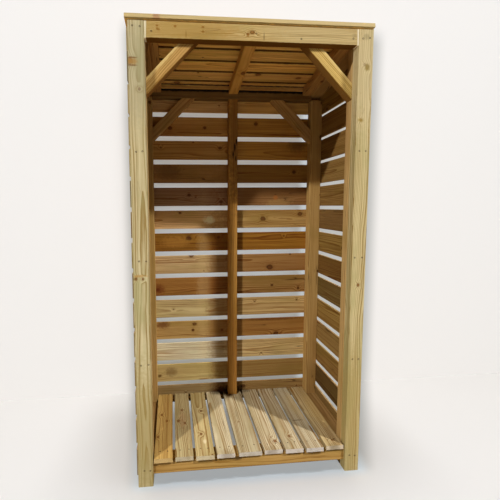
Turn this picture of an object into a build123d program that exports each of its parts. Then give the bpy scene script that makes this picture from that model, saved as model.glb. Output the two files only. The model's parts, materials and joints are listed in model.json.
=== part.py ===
"""Open-fronted log store: a slatted timber shelter with a board floor and a lapped mono-pitch roof.

Millimetres, +Z up, +X to the right of someone who faces the open front, which looks along -Y.
The origin is on the ground, under the centre of the overall box.
"""
import os
from math import ceil, cos, radians, sin, tan

from build123d import *

# Overall sizes
FRONT_WIDTH = 930.0  # over the outer faces of the front posts
POST_HEIGHT = 1800.0  # ground to the roof plane, at the front faces of the posts
FRAME_DEPTH = 446.0  # front faces of the front posts to the rear faces of the rear uprights

# Timber sections
TIMBER_WIDTH = 60.0
TIMBER_THICK = 38.0
BEARER_HEIGHT = 53.0  # bearer under the front ends of the floor boards
BATTEN_HEIGHT = 12.0  # thin batten under the rear ends of the floor boards
BATTEN_DEPTH = 20.0
LIGHT_WIDTH = 46.0  # rear rail, centre post, rafters and all the braces
EASING = 3.0  # rounded long edges of planed timber
BOARD_EASING = 1.5

# Floor
BEARER_BOTTOM = 42.5
BEARER_SETBACK = 12.0  # front bearer behind the faces of the posts
FLOOR_THICK = 18.0
FLOOR_LEFT_GAP = 3.0  # from the left front post to the first board
FLOOR_RIGHT_GAP = 5.0  # from the last board to the right front post
FLOOR_REAR_GAP = 4.0  # from the boards to the back slats
# Each floor board: its width before the boards are fitted between the posts, the gap to the next
# board, and how far its front end stands back
FLOOR_BOARDS = (
    (76.0, 11.0, 3.0),
    (74.0, 11.0, 5.0),
    (77.0, 10.0, 2.0),
    (75.0, 17.0, 4.0),
    (97.0, 12.0, 5.0),
    (77.0, 12.0, 7.0),
    (77.0, 12.0, 4.0),
    (75.0, 13.0, 2.0),
    (76.0, 0.0, 6.0),
)

# Slats of the back and the sides
SLAT_WIDTH = 95.0
SLAT_GAP_LIMIT = 24.0  # the slats are spread evenly, no further apart than this
SLAT_THICK = 9.0
LOWEST_SLAT_TOP = 160.0
TOP_SLAT_DROP = 18.6  # from the roof plane at the rear down to the top slat of the back
SIDE_SLAT_WIDTH = 99.0  # the lowest ones; the boards of the sides get wider upwards
SIDE_SLAT_GROWTH = 7.0
SIDE_SLAT_BOW = 8.0  # at mid height the side slats sit this much over an even spacing
SIDE_SLAT_DROP = 15.0  # from the roof plane at the rear down to the top side slat
SKIRT_BOTTOM = 20.0  # ground to the lowest board of each side
SKIRT_TOP = 133.0
SKIRT_GAP = 29.0  # from that board to the first slat
TOP_BOARD_JOINT = 1.0  # from the top side slat to the tapered board over it

# Roof
ROOF_ANGLE = 9.8  # fall towards the back, in degrees
ROOF_BOARDS = 6
ROOF_LAP = 20.0
ROOF_THIN_EDGE = 5.0
ROOF_THICK_EDGE = 13.0
STARTER_THICK = 15.0  # square-edged first board
ROOF_FRONT_OVERHANG = 12.0
ROOF_REAR_OVERHANG = 14.0  # past the back slats, under the last board
ROOF_SIDE_OVERHANG = 3.0
ROOF_SHIFT = -6.0  # the boards were fixed a little to the left
LAP_CLEARANCE = 0.2

# Top rails, side plates and braces
RAIL_END_GAP = 6.0  # from each lower corner of the front rail to the post, filled by a packer
RAIL_END_SKEW = 3.0  # the rail is this much shorter at each upper corner
PACKER_SETBACK = 1.5  # packer behind the faces of the rail and the post
PACKER_DEPTH = 30.0
BACK_RAIL_GAP = 11.0  # from the roof plane at the rear down to the back rail
REAR_UPRIGHT_GAP = 23.0  # from the side plate down to the front of the rear upright
FRONT_BRACE_ANGLE = 46.0
REAR_BRACE_ANGLE = 45.0
FRONT_BRACE_DROP = 157.0  # from the rail down to the brace's centre line on the upright
FRONT_BRACE_LAP = 36.0  # brace behind the front rail
REAR_BRACE_DROP = 177.0

# Worked-out places, heights and planes
HALF_WIDTH = FRONT_WIDTH / 2
INNER_HALF = HALF_WIDTH - TIMBER_WIDTH
FALL = tan(radians(ROOF_ANGLE))
ROOF_COS = cos(radians(ROOF_ANGLE))
ROOF_SIN = sin(radians(ROOF_ANGLE))
ROOF_LENGTH = (ROOF_FRONT_OVERHANG + FRAME_DEPTH + SLAT_THICK + ROOF_REAR_OVERHANG) / ROOF_COS
ROOF_PITCH = (ROOF_LENGTH - ROOF_LAP) / ROOF_BOARDS
ROOF_BOARD_WIDTH = ROOF_PITCH + ROOF_LAP
TAPER = (ROOF_THICK_EDGE - ROOF_THIN_EDGE) / ROOF_BOARD_WIDTH
# A board's lower edge rests on the board below it, a lap's length past that board's upper edge
BOARD_LIFT = (ROOF_THIN_EDGE + ROOF_LAP * TAPER + LAP_CLEARANCE) * ROOF_BOARD_WIDTH / ROOF_PITCH
STARTER_LIFT = ROOF_THIN_EDGE + ROOF_LAP * (TAPER + BOARD_LIFT / ROOF_BOARD_WIDTH) + LAP_CLEARANCE
OVERALL_DEPTH = ROOF_LENGTH * ROOF_COS + (BOARD_LIFT + ROOF_THICK_EDGE) * ROOF_SIN

FRONT = ROOF_FRONT_OVERHANG - OVERALL_DEPTH / 2  # front faces of the posts
SECOND_LAYER = FRONT + TIMBER_THICK
LAYERS_BACK = SECOND_LAYER + TIMBER_THICK
REAR = FRONT + FRAME_DEPTH  # rear faces of the rear uprights
REAR_LAYER = REAR - TIMBER_THICK
ROOF_PLANE = Plane(origin=(0, FRONT, POST_HEIGHT), x_dir=(1, 0, 0), z_dir=(0, ROOF_SIN, ROOF_COS))
# Square to the roof's fall at the front faces; its second axis points down into the timbers
ROOF_SECTION = Plane(origin=ROOF_PLANE.origin, x_dir=(1, 0, 0), z_dir=(0, ROOF_COS, -ROOF_SIN))

BEARER_TOP = BEARER_BOTTOM + BEARER_HEIGHT
FLOOR_TOP = BEARER_TOP + FLOOR_THICK
REAR_HEIGHT = POST_HEIGHT - FRAME_DEPTH * FALL  # ground to the roof plane at the rear faces
PLATE_REAR_BOTTOM = REAR_HEIGHT + TIMBER_THICK * FALL - TIMBER_THICK / ROOF_COS
REAR_UPRIGHT_TOP = PLATE_REAR_BOTTOM - REAR_UPRIGHT_GAP
BACK_RAIL_TOP = REAR_HEIGHT - BACK_RAIL_GAP
BACK_RAIL_BOTTOM = BACK_RAIL_TOP - LIGHT_WIDTH
FRONT_RAIL_BOTTOM = POST_HEIGHT - TIMBER_WIDTH


def write(piece, label):
    """Names a finished piece and writes it as one STEP file."""
    piece.part.label = label
    export_step(piece.part, f"parts/{label}.step")


def sides():
    """The two sides as a name and the sign of X."""
    return (("left", -1), ("right", 1))


def upright(label, x, y, width, depth, bottom=0.0, top=None):
    """A post from the ground: flat on top at a given height, or cut to the fall of the roof."""
    with BuildPart() as piece:
        with BuildSketch(Plane.XY.offset(bottom)):
            with Locations((x, y)):
                RectangleRounded(width, depth, EASING)
        extrude(amount=(top or POST_HEIGHT + TIMBER_THICK) - bottom)
        if top is None:
            split(bisect_by=ROOF_PLANE, keep=Keep.BOTTOM)
    write(piece, label)


def corner_posts():
    """Front corners are two timbers deep; rear corners one, ending short of the side plates."""
    centre = HALF_WIDTH - TIMBER_WIDTH / 2
    for side, sign in sides():
        for name, layer, top in (
            ("front_post", FRONT, None),
            ("front_upright", SECOND_LAYER, None),
            ("rear_upright", REAR_LAYER, REAR_UPRIGHT_TOP),
        ):
            middle = layer + TIMBER_THICK / 2
            upright(f"{name}_{side}", sign * centre, middle, TIMBER_WIDTH, TIMBER_THICK, top=top)


def centre_rear_post():
    """Stands on the floor boards and carries the back rail."""
    upright(
        "centre_rear_post",
        0,
        REAR - TIMBER_THICK / 2,
        LIGHT_WIDTH,
        TIMBER_THICK,
        FLOOR_TOP,
        BACK_RAIL_BOTTOM,
    )


def front_top_rail():
    """Rail between the front posts, its ends sawn out of square and packed out to the posts."""
    half_bottom = INNER_HALF - RAIL_END_GAP
    half_top = half_bottom - RAIL_END_SKEW
    with BuildPart() as rail:
        with BuildSketch(Plane.YZ.offset(-HALF_WIDTH)):
            with Locations((FRONT + TIMBER_THICK / 2, POST_HEIGHT - TIMBER_WIDTH / 2)):
                RectangleRounded(TIMBER_THICK, TIMBER_WIDTH, EASING)
        extrude(amount=FRONT_WIDTH)
        with BuildSketch(Plane.XZ.offset(-FRONT)):
            with BuildLine():
                Polyline(
                    (-half_top, POST_HEIGHT),
                    (-half_bottom, FRONT_RAIL_BOTTOM),
                    (half_bottom, FRONT_RAIL_BOTTOM),
                    (half_top, POST_HEIGHT),
                    close=True,
                )
            make_face()
        extrude(amount=-TIMBER_THICK, mode=Mode.INTERSECT)
        split(bisect_by=ROOF_PLANE, keep=Keep.BOTTOM)
    write(rail, "front_top_rail")

    for side, sign in sides():
        with BuildPart() as packer:
            with BuildSketch(Plane.XZ.offset(-FRONT - PACKER_SETBACK)):
                with BuildLine():
                    Polyline(
                        (sign * INNER_HALF, POST_HEIGHT),
                        (sign * INNER_HALF, FRONT_RAIL_BOTTOM),
                        (sign * half_bottom, FRONT_RAIL_BOTTOM),
                        (sign * half_top, POST_HEIGHT),
                        close=True,
                    )
                make_face()
            extrude(amount=-PACKER_DEPTH)
            split(bisect_by=ROOF_PLANE, keep=Keep.BOTTOM)
        write(packer, f"rail_packer_{side}")


def back_top_rail():
    """Lighter rail between the rear uprights, held clear under the roof boards."""
    with BuildPart() as rail:
        with BuildSketch(Plane.YZ.offset(-INNER_HALF)):
            with Locations((REAR - TIMBER_THICK / 2, BACK_RAIL_TOP - LIGHT_WIDTH / 2)):
                RectangleRounded(TIMBER_THICK, LIGHT_WIDTH, EASING)
        extrude(amount=2 * INNER_HALF)
    write(rail, "back_top_rail")


def side_plates():
    """Flat under the roof boards over each side, from the front upright to the rear."""
    for side, sign in sides():
        with BuildPart() as plate:
            with BuildSketch(ROOF_SECTION):
                with Locations((sign * (HALF_WIDTH - TIMBER_WIDTH / 2), TIMBER_THICK / 2)):
                    RectangleRounded(TIMBER_WIDTH, TIMBER_THICK, EASING)
            extrude(amount=FRAME_DEPTH / ROOF_COS + TIMBER_WIDTH)
            split(bisect_by=Plane.XZ.offset(-LAYERS_BACK), keep=Keep.BOTTOM)
            split(bisect_by=Plane.XZ.offset(-REAR), keep=Keep.TOP)
        write(plate, f"side_plate_{side}")


def brace(label, sign, layer, foot, angle, top):
    """Slanted strut from an upright's inner face up to a cut at the given height."""
    lean = radians(angle)
    along = Vector(-sign * cos(lean), 0, sin(lean))
    start = Vector(sign * INNER_HALF, layer + TIMBER_THICK / 2, foot) - along * LIGHT_WIDTH
    with BuildPart() as strut:
        with BuildSketch(Plane(origin=start, x_dir=(0, 1, 0), z_dir=along)):
            RectangleRounded(TIMBER_THICK, LIGHT_WIDTH, EASING)
        extrude(amount=(top - foot) / sin(lean) + 3 * LIGHT_WIDTH)
        split(bisect_by=Plane(origin=(sign * INNER_HALF, 0, 0), z_dir=(-sign, 0, 0)), keep=Keep.TOP)
        split(bisect_by=Plane.XY.offset(top), keep=Keep.BOTTOM)
    write(strut, label)


def braces():
    """Front braces run up behind the rail; rear braces stop under theirs."""
    front_foot = FRONT_RAIL_BOTTOM - FRONT_BRACE_DROP
    front_top = FRONT_RAIL_BOTTOM + FRONT_BRACE_LAP
    rear_foot = BACK_RAIL_BOTTOM - REAR_BRACE_DROP
    for side, sign in sides():
        brace(f"front_brace_{side}", sign, SECOND_LAYER, front_foot, FRONT_BRACE_ANGLE, front_top)
        brace(f"rear_brace_{side}", sign, REAR_LAYER, rear_foot, REAR_BRACE_ANGLE, BACK_RAIL_BOTTOM)


def rafters():
    """Flat under the roof boards, from the front rail's rear face to the back rail's front face."""
    side_place = INNER_HALF - LIGHT_WIDTH / 2
    for name, x in (("left", -side_place), ("centre", 0), ("right", side_place)):
        with BuildPart() as rafter:
            with BuildSketch(ROOF_SECTION):
                with Locations((x, TIMBER_THICK / 2)):
                    RectangleRounded(LIGHT_WIDTH, TIMBER_THICK, EASING)
            extrude(amount=FRAME_DEPTH / ROOF_COS + TIMBER_WIDTH)
            split(bisect_by=Plane.XZ.offset(-SECOND_LAYER), keep=Keep.BOTTOM)
            split(bisect_by=Plane.XZ.offset(-REAR_LAYER), keep=Keep.TOP)
        write(rafter, f"rafter_{name}")


def roof_point(run, rise):
    """A point of the roof's section: run down the slope from the front edge, rise off the rafters."""
    front_height = POST_HEIGHT + ROOF_FRONT_OVERHANG * FALL
    return (
        FRONT - ROOF_FRONT_OVERHANG + run * ROOF_COS + rise * ROOF_SIN,
        front_height - run * ROOF_SIN + rise * ROOF_COS,
    )


def roof_boards():
    """A square-edged starter board, then tapered boards, each lapped under the one before."""
    half = HALF_WIDTH + ROOF_SIDE_OVERHANG
    for number in range(ROOF_BOARDS):
        run = number * ROOF_PITCH
        upper, lower, lift = ROOF_THIN_EDGE, ROOF_THICK_EDGE, BOARD_LIFT
        if number == 0:
            upper, lower, lift = STARTER_THICK, STARTER_THICK, STARTER_LIFT
        with BuildPart() as board:
            with BuildSketch(Plane.YZ.offset(ROOF_SHIFT - half)):
                with BuildLine():
                    Polyline(
                        roof_point(run, 0),
                        roof_point(run + ROOF_BOARD_WIDTH, lift),
                        roof_point(run + ROOF_BOARD_WIDTH, lift + lower),
                        roof_point(run, upper),
                        close=True,
                    )
                make_face()
            extrude(amount=2 * half)
        write(board, f"roof_board_{number + 1}")


def floor_bearers():
    """A heavy front bearer, flat side bearers and a thin batten under the rear ends of the boards."""
    with BuildPart() as front_bearer:
        with BuildSketch(Plane.YZ.offset(-INNER_HALF)):
            with Locations((FRONT + BEARER_SETBACK + TIMBER_WIDTH / 2, BEARER_BOTTOM + BEARER_HEIGHT / 2)):
                RectangleRounded(TIMBER_WIDTH, BEARER_HEIGHT, EASING)
        extrude(amount=2 * INNER_HALF)
    write(front_bearer, "front_bearer")

    with BuildPart() as rear_bearer:
        with BuildSketch(Plane.YZ.offset(-INNER_HALF)):
            with Locations((REAR - BATTEN_DEPTH / 2, BEARER_TOP - BATTEN_HEIGHT / 2)):
                RectangleRounded(BATTEN_DEPTH, BATTEN_HEIGHT, BOARD_EASING)
        extrude(amount=2 * INNER_HALF)
    write(rear_bearer, "rear_bearer")

    for side, sign in sides():
        with BuildPart() as side_bearer:
            with BuildSketch(Plane.XZ.offset(-LAYERS_BACK)):
                with Locations((sign * (HALF_WIDTH - TIMBER_WIDTH / 2), BEARER_TOP - TIMBER_THICK / 2)):
                    RectangleRounded(TIMBER_WIDTH, TIMBER_THICK, EASING)
            extrude(amount=LAYERS_BACK - REAR_LAYER)
        write(side_bearer, f"side_bearer_{side}")


def floor_boards():
    """Boards from front to back, each of its own width, with an open gap between them."""
    clear_width = 2 * INNER_HALF - FLOOR_LEFT_GAP - FLOOR_RIGHT_GAP - sum(gap for _, gap, _ in FLOOR_BOARDS)
    fit = clear_width / sum(width for width, _, _ in FLOOR_BOARDS)
    left_edge = FLOOR_LEFT_GAP - INNER_HALF
    for number, (stock_width, gap, setback) in enumerate(FLOOR_BOARDS, start=1):
        width = stock_width * fit
        board_front = FRONT + setback
        board_back = REAR - FLOOR_REAR_GAP
        with BuildPart() as board:
            with BuildSketch(Plane.XZ.offset(-board_front)):
                with Locations((left_edge + width / 2, FLOOR_TOP - FLOOR_THICK / 2)):
                    RectangleRounded(width, FLOOR_THICK, BOARD_EASING)
            extrude(amount=board_front - board_back)
        write(board, f"floor_board_{number}")
        left_edge += width + gap


def spread(lowest, highest, width):
    """Evenly spaced centre heights for slats, with the share of the way up that each has reached."""
    steps = ceil((highest - lowest) / (width + SLAT_GAP_LIMIT))
    return [(lowest + (highest - lowest) * step / steps, step / steps) for step in range(steps + 1)]


def back_slats():
    """Slats over the full width, covering the ends of the side slats."""
    half = HALF_WIDTH + SLAT_THICK
    lowest = LOWEST_SLAT_TOP - SLAT_WIDTH / 2
    highest = REAR_HEIGHT - TOP_SLAT_DROP - SLAT_WIDTH / 2
    centres = [centre for centre, _ in spread(lowest, highest, SLAT_WIDTH)]
    with BuildPart() as slats:
        with BuildSketch(Plane.YZ.offset(-half)):
            with Locations(*[(REAR + SLAT_THICK / 2, centre) for centre in centres]):
                RectangleRounded(SLAT_THICK, SLAT_WIDTH, BOARD_EASING)
        extrude(amount=2 * half)
    write(slats, "back_slats")


def side_slats():
    """Slats from behind the front post to the back, a skirt below and a tapered board on top."""
    top_width = SIDE_SLAT_WIDTH + SIDE_SLAT_GROWTH
    lowest = SKIRT_TOP + SKIRT_GAP + SIDE_SLAT_WIDTH / 2
    highest = REAR_HEIGHT - SIDE_SLAT_DROP - top_width / 2
    top_board_bottom = REAR_HEIGHT - SIDE_SLAT_DROP + TOP_BOARD_JOINT
    boards = [
        (centre + 4 * SIDE_SLAT_BOW * share * (1 - share), SIDE_SLAT_WIDTH + SIDE_SLAT_GROWTH * share**2)
        for centre, share in spread(lowest, highest, top_width)
    ]
    boards.append(((SKIRT_BOTTOM + SKIRT_TOP) / 2, SKIRT_TOP - SKIRT_BOTTOM))
    boards.append(((top_board_bottom + POST_HEIGHT) / 2, POST_HEIGHT - top_board_bottom))
    for side, sign in sides():
        with BuildPart() as slats:
            with BuildSketch(Plane.XZ.offset(-SECOND_LAYER)):
                for centre, width in boards:
                    with Locations((sign * (HALF_WIDTH + SLAT_THICK / 2), centre)):
                        RectangleRounded(SLAT_THICK, width, BOARD_EASING)
            extrude(amount=SECOND_LAYER - REAR)
            split(bisect_by=ROOF_PLANE, keep=Keep.BOTTOM)
        write(slats, f"side_slats_{side}")


os.makedirs("parts", exist_ok=True)
corner_posts()
centre_rear_post()
front_top_rail()
back_top_rail()
side_plates()
braces()
rafters()
roof_boards()
floor_bearers()
floor_boards()
back_slats()
side_slats()
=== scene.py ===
"""Finishes the log store: timber surfaces, screws, nails, and a plain pale studio to show it in."""

import json
import math
import random

import bpy
from bpy.props import FloatProperty, FloatVectorProperty, IntProperty, PointerProperty
from mathutils import Matrix, Vector
from mathutils.bvhtree import BVHTree

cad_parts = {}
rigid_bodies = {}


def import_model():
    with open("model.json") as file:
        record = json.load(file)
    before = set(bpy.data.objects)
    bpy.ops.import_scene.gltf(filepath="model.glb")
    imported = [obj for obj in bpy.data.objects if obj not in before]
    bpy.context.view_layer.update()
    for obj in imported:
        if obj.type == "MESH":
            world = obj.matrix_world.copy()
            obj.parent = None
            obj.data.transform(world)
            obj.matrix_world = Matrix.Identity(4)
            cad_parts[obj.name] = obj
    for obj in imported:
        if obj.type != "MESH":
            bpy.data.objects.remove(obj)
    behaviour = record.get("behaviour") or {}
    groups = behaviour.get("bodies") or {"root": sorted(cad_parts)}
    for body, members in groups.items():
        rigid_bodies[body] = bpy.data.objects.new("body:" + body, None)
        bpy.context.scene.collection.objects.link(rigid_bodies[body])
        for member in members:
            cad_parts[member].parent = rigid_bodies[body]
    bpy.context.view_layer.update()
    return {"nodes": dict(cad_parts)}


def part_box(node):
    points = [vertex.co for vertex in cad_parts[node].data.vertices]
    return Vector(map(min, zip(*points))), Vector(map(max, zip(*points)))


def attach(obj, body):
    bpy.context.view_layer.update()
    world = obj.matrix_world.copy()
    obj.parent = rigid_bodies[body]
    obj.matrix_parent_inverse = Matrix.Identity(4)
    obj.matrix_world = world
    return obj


bl_info = {
    "name": "Log Store Finish",
    "version": (1, 0, 0),
    "blender": (4, 5, 0),
    "location": "View3D > Sidebar > Log Store",
    "description": "Timber surfaces, fixings and a studio for the slatted log store",
    "category": "Object",
}

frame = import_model()
SIDES = (("left", -1.0), ("right", 1.0))
UP = Vector((0, 0, 1))
RIGHTWARD = Vector((1, 0, 0))
BACKWARD = Vector((0, 1, 0))
ROOF_ANGLE = math.radians(9.8)
ROOF_FALL = Vector((0, math.cos(ROOF_ANGLE), -math.sin(ROOF_ANGLE)))
BRACE_ANGLE = math.radians(46)
STORE_MIDDLE = Vector((0, 0, 0.9))
NO_KNOT = 9.0  # a distance in knot radii at which nothing of a knot shows


def shade(red, green, blue):
    """A colour as it is mixed on a screen, turned into the linear one that the nodes take."""
    linear = [
        part / 12.92 if part <= 0.04045 else ((part + 0.055) / 1.055) ** 2.4
        for part in (red / 255, green / 255, blue / 255)
    ]
    return (*linear, 1.0)


def wood_colour(name, description, *mixed):
    """A colour setting for the sidebar."""
    form = {"subtype": "COLOR", "size": 4, "min": 0.0, "max": 1.0}
    return FloatVectorProperty(name=name, description=description, default=shade(*mixed), **form)


def amount(name, description, default, **limits):
    """A number setting for the sidebar."""
    return FloatProperty(name=name, description=description, default=default, **limits)


class TimberSettings(bpy.types.PropertyGroup):
    """Colours and grain of the timber."""

    front_early: wood_colour("Front Wood", "Pale wood of the posts, rail and front braces", 222, 206, 160)
    front_late: wood_colour("Front Grain", "Darker rings of the front timber", 164, 136, 80)
    front_stain: wood_colour("Front Treatment", "Greenish preservative on the front timber", 178, 170, 116)
    inner_early: wood_colour("Inner Wood", "Pale wood of the slats, roof and inner frame", 190, 153, 98)
    inner_late: wood_colour("Inner Grain", "Darker rings of the inner timber", 134, 86, 40)
    inner_stain: wood_colour("Inner Treatment", "Preservative on the inner timber", 156, 124, 66)
    deck_early: wood_colour("Floor Wood", "Pale wood of the floor boards", 212, 197, 166)
    deck_late: wood_colour("Floor Grain", "Darker rings of the floor boards", 146, 112, 68)
    deck_stain: wood_colour("Floor Treatment", "Preservative on the floor", 168, 150, 110)
    sawn_end: wood_colour("Sawn Ends", "Fresh end grain", 222, 200, 158)
    front_knot: wood_colour("Front Knots", "Heart of a knot in the front timber", 158, 106, 46)
    inner_knot: wood_colour("Inner Knots", "Heart of a knot in the inner timber", 112, 66, 28)
    deck_knot: wood_colour("Floor Knots", "Heart of a knot in the floor", 150, 100, 54)
    ring_width: amount("Ring Width", "Growth of one year", 0.0048, min=0.001, max=0.02, unit="LENGTH")
    relief: amount("Relief", "Depth of the rough sawn grain", 0.7, min=0.0, max=1.0, subtype="FACTOR")


class FixingSettings(bpy.types.PropertyGroup):
    """Sizes and finish of the screws and nails."""

    screw_head: amount("Screw Head", "Diameter of a screw head", 0.0078, min=0.002, unit="LENGTH")
    nail_head: amount("Nail Head", "Diameter of a nail head", 0.0056, min=0.002, unit="LENGTH")
    rise: amount("Rise", "Height of a head above the timber", 0.0003, min=0.0, unit="LENGTH")
    turn_seed: IntProperty(name="Turn Seed", description="Chooses how the recesses are turned", default=7)
    metal: wood_colour("Metal", "Dulled plating of the fixings", 72, 60, 44)


class StudioSettings(bpy.types.PropertyGroup):
    """Light and backdrop."""

    backdrop: wood_colour("Backdrop", "Colour of the floor and wall", 244, 243, 238)
    side_level: amount("Store Lamps", "Level of the lamps that light the store", 0.81, min=0.0)
    sky_level: amount("Surround", "Level of the even surround", 0.03, min=0.0)
    stage_level: amount("Backdrop Lamps", "Level of the lamps on the floor and wall", 0.97, min=0.0)


def arithmetic(operation, swapped=False):
    """The method by which a Python operator adds one Math node."""

    def method(self, other):
        terms = (other, self) if swapped else (self, other)
        return self.finish.math(operation, *terms)

    return method


class Value:
    """A number in a node tree. Arithmetic on it adds Math nodes."""

    def __init__(self, finish, socket):
        self.finish = finish
        self.socket = socket

    __add__ = __radd__ = arithmetic("ADD")
    __sub__ = arithmetic("SUBTRACT")
    __rsub__ = arithmetic("SUBTRACT", swapped=True)
    __mul__ = __rmul__ = arithmetic("MULTIPLY")
    __truediv__ = arithmetic("DIVIDE")
    __rtruediv__ = arithmetic("DIVIDE", swapped=True)
    __pow__ = arithmetic("POWER")
    __rpow__ = arithmetic("POWER", swapped=True)


class Finish:
    """Adds nodes to one tree, a material's, a world's or a group's."""

    def __init__(self, tree):
        self.tree = tree
        tree.nodes.clear()

    def node(self, kind, settings=None, inputs=None):
        """A node of a type, with its settings made first and then its sockets set or linked.

        The word ShaderNode is left out of a shader node's type, a ramp's stops make plain
        steps, and a node given for a socket stands for its first output.
        """
        made = self.tree.nodes.new(kind if "Node" in kind else f"ShaderNode{kind}")
        for name, value in (settings or {}).items():
            if name == "stops":
                made.color_ramp.interpolation = "CONSTANT"
                stops = made.color_ramp.elements
                while len(stops) < len(value):
                    stops.new(1.0)
                for stop, (place, colour) in zip(stops, value):
                    stop.position = place
                    stop.color = colour
            else:
                setattr(made, name, value)
        for name, value in (inputs or {}).items():
            if isinstance(value, bpy.types.Node):
                value = value.outputs[0]
            elif isinstance(value, Value):
                value = value.socket
            if isinstance(value, bpy.types.NodeSocket):
                self.tree.links.new(value, made.inputs[name])
            else:
                made.inputs[name].default_value = value
        return made

    def value(self, node, output=0):
        """One output of a node as a number for arithmetic."""
        return Value(self, node.outputs[output])

    def parts(self, vector, kind="XYZ"):
        """The three parts of a vector, or of a colour where kind is Color, as numbers."""
        made = self.node(f"Separate{kind}", None, {0: vector})
        return [self.value(made, number) for number in range(3)]

    def math(self, operation, *terms):
        """A Math node on numbers and values."""
        made = self.node("Math", {"operation": operation}, dict(enumerate(terms)))
        return self.value(made)

    def vector(self, operation, *terms):
        """A Vector Math node."""
        return self.node("VectorMath", {"operation": operation}, dict(enumerate(terms)))

    def point(self, x, y, z):
        """Three numbers as one vector."""
        return self.node("CombineXYZ", None, {0: x, 1: y, 2: z})

    def mix(self, first, second, factor, blend="MIX"):
        """Two colours mixed."""
        settings = {"data_type": "RGBA", "blend_type": blend, "clamp_factor": True}
        return self.node("Mix", settings, {0: factor, 6: first, 7: second}).outputs[2]

    def rise(self, value, low, high):
        """0 below low, 1 above high, and smooth between them. It falls where low is above high."""
        settings = {"interpolation_type": "SMOOTHSTEP"}
        made = self.node("MapRange", settings, {"Value": value, "From Min": low, "From Max": high})
        return self.value(made)

    def noise(self, vector, scale=1.0, detail=2.0, roughness=0.5):
        """Three-dimensional noise, from 0 to 1."""
        inputs = {"Vector": vector, "Scale": scale, "Detail": detail, "Roughness": roughness}
        return self.value(self.node("TexNoise", None, inputs))


def new_material(name):
    """An empty material that uses nodes, and its tree's builder."""
    material = bpy.data.materials.new(name)
    material.use_nodes = True
    return material, Finish(material.node_tree)


def new_object(name, data):
    """A new object in the scene."""
    made = bpy.data.objects.new(name, data)
    bpy.context.scene.collection.objects.link(made)
    return made


def add_sockets(tree, direction, kind, *names):
    """Sockets of one kind on a node group."""
    for name in names:
        tree.interface.new_socket(name, in_out=direction, socket_type=f"NodeSocket{kind}")


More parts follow.
